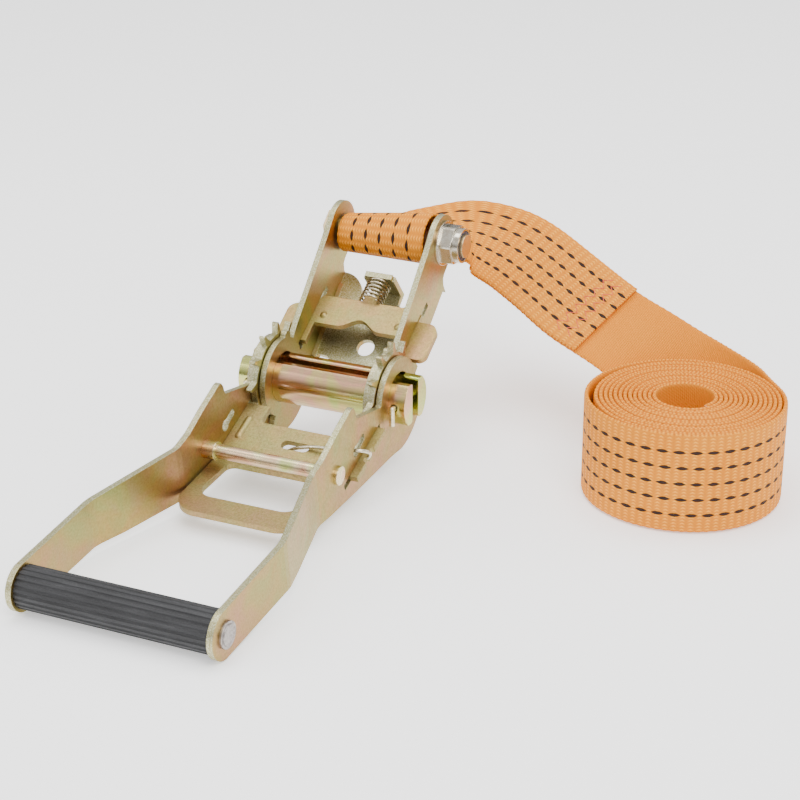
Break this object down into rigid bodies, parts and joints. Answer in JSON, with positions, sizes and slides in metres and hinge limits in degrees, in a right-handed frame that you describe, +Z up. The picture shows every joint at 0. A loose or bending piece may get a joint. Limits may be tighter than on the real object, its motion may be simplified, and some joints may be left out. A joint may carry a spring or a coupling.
{
  "type": "ratchet tie down",
  "caption": "Long-handled ratchet tie down with a rolled strap: a frame with a slotted reel, toothed wheels, a sprung lock pawl, and a levering handle with a drive pawl.",
  "frame": {"origin": "middle of the whole object's footprint, on the surface that it lies on", "axes": "+X from the grip towards the frame's strap bolt, +Y to the object's left, +Z up"},
  "size_m": [0.3504, 0.2742, 0.1102],
  "materials": {
    "yellow_zinc": "yellow chromate zinc plate, satin",
    "silver_zinc": "clear zinc plate, satin",
    "bright_zinc": "bright yellow zinc plate on turned steel",
    "rivet_steel": "bare formed steel",
    "spring_steel": "drawn wire",
    "nylon": "nylon ring",
    "grip_rubber": "ribbed soft rubber",
    "webbing": "woven polyester webbing"
  },
  "bodies": {
    "frame": {"base_frame": "yellow_zinc", "strap_bolt": "silver_zinc", "lock_nut": "silver_zinc", "nut_insert": "nylon", "lock_spring": "spring_steel", "strap_loop": "webbing", "strap_lead": "webbing", "strap_coil": "webbing"},
    "reel": {"spindle_bar_front": "bright_zinc", "spindle_bar_rear": "bright_zinc", "ratchet_wheel_left": "yellow_zinc", "ratchet_wheel_right": "yellow_zinc", "cotter_pin_left": "spring_steel", "cotter_pin_right": "spring_steel"},
    "handle": {"handle_plate_left": "yellow_zinc", "handle_plate_right": "yellow_zinc", "grip_bar": "rivet_steel", "grip_sleeve": "grip_rubber", "cross_bar": "bright_zinc", "cross_collars": "bright_zinc"},
    "drive_pawl": {"drive_pawl": "yellow_zinc", "drive_spring": "spring_steel"},
    "lock_pawl": {"lock_pawl": "yellow_zinc"}
  },
  "joints": [
    {"name": "handle_pivot", "type": "hinge", "parent": "frame", "child": "handle", "pos_m": [0.03657, 0.0842, 0.03787], "axis": [0, 1, 0], "range_deg": [-30, 105]},
    {"name": "reel_spin", "type": "hinge", "parent": "frame", "child": "reel", "pos_m": [0.03657, 0.0842, 0.03787], "axis": [0, 1, 0], "continuous": true},
    {"name": "lock_pawl_slide", "type": "slide", "parent": "frame", "child": "lock_pawl", "axis": [0.848, 0, 0.5299], "range_m": [0, 0.006], "stiffness_N_per_m": 300, "springref_m": -0.012},
    {"name": "drive_pawl_slide", "type": "slide", "parent": "handle", "child": "drive_pawl", "axis": [-0.9232, 0, -0.3843], "range_m": [0, 0.006], "stiffness_N_per_m": 300, "springref_m": -0.012, "deforming": ["drive_spring"]}
  ]
}
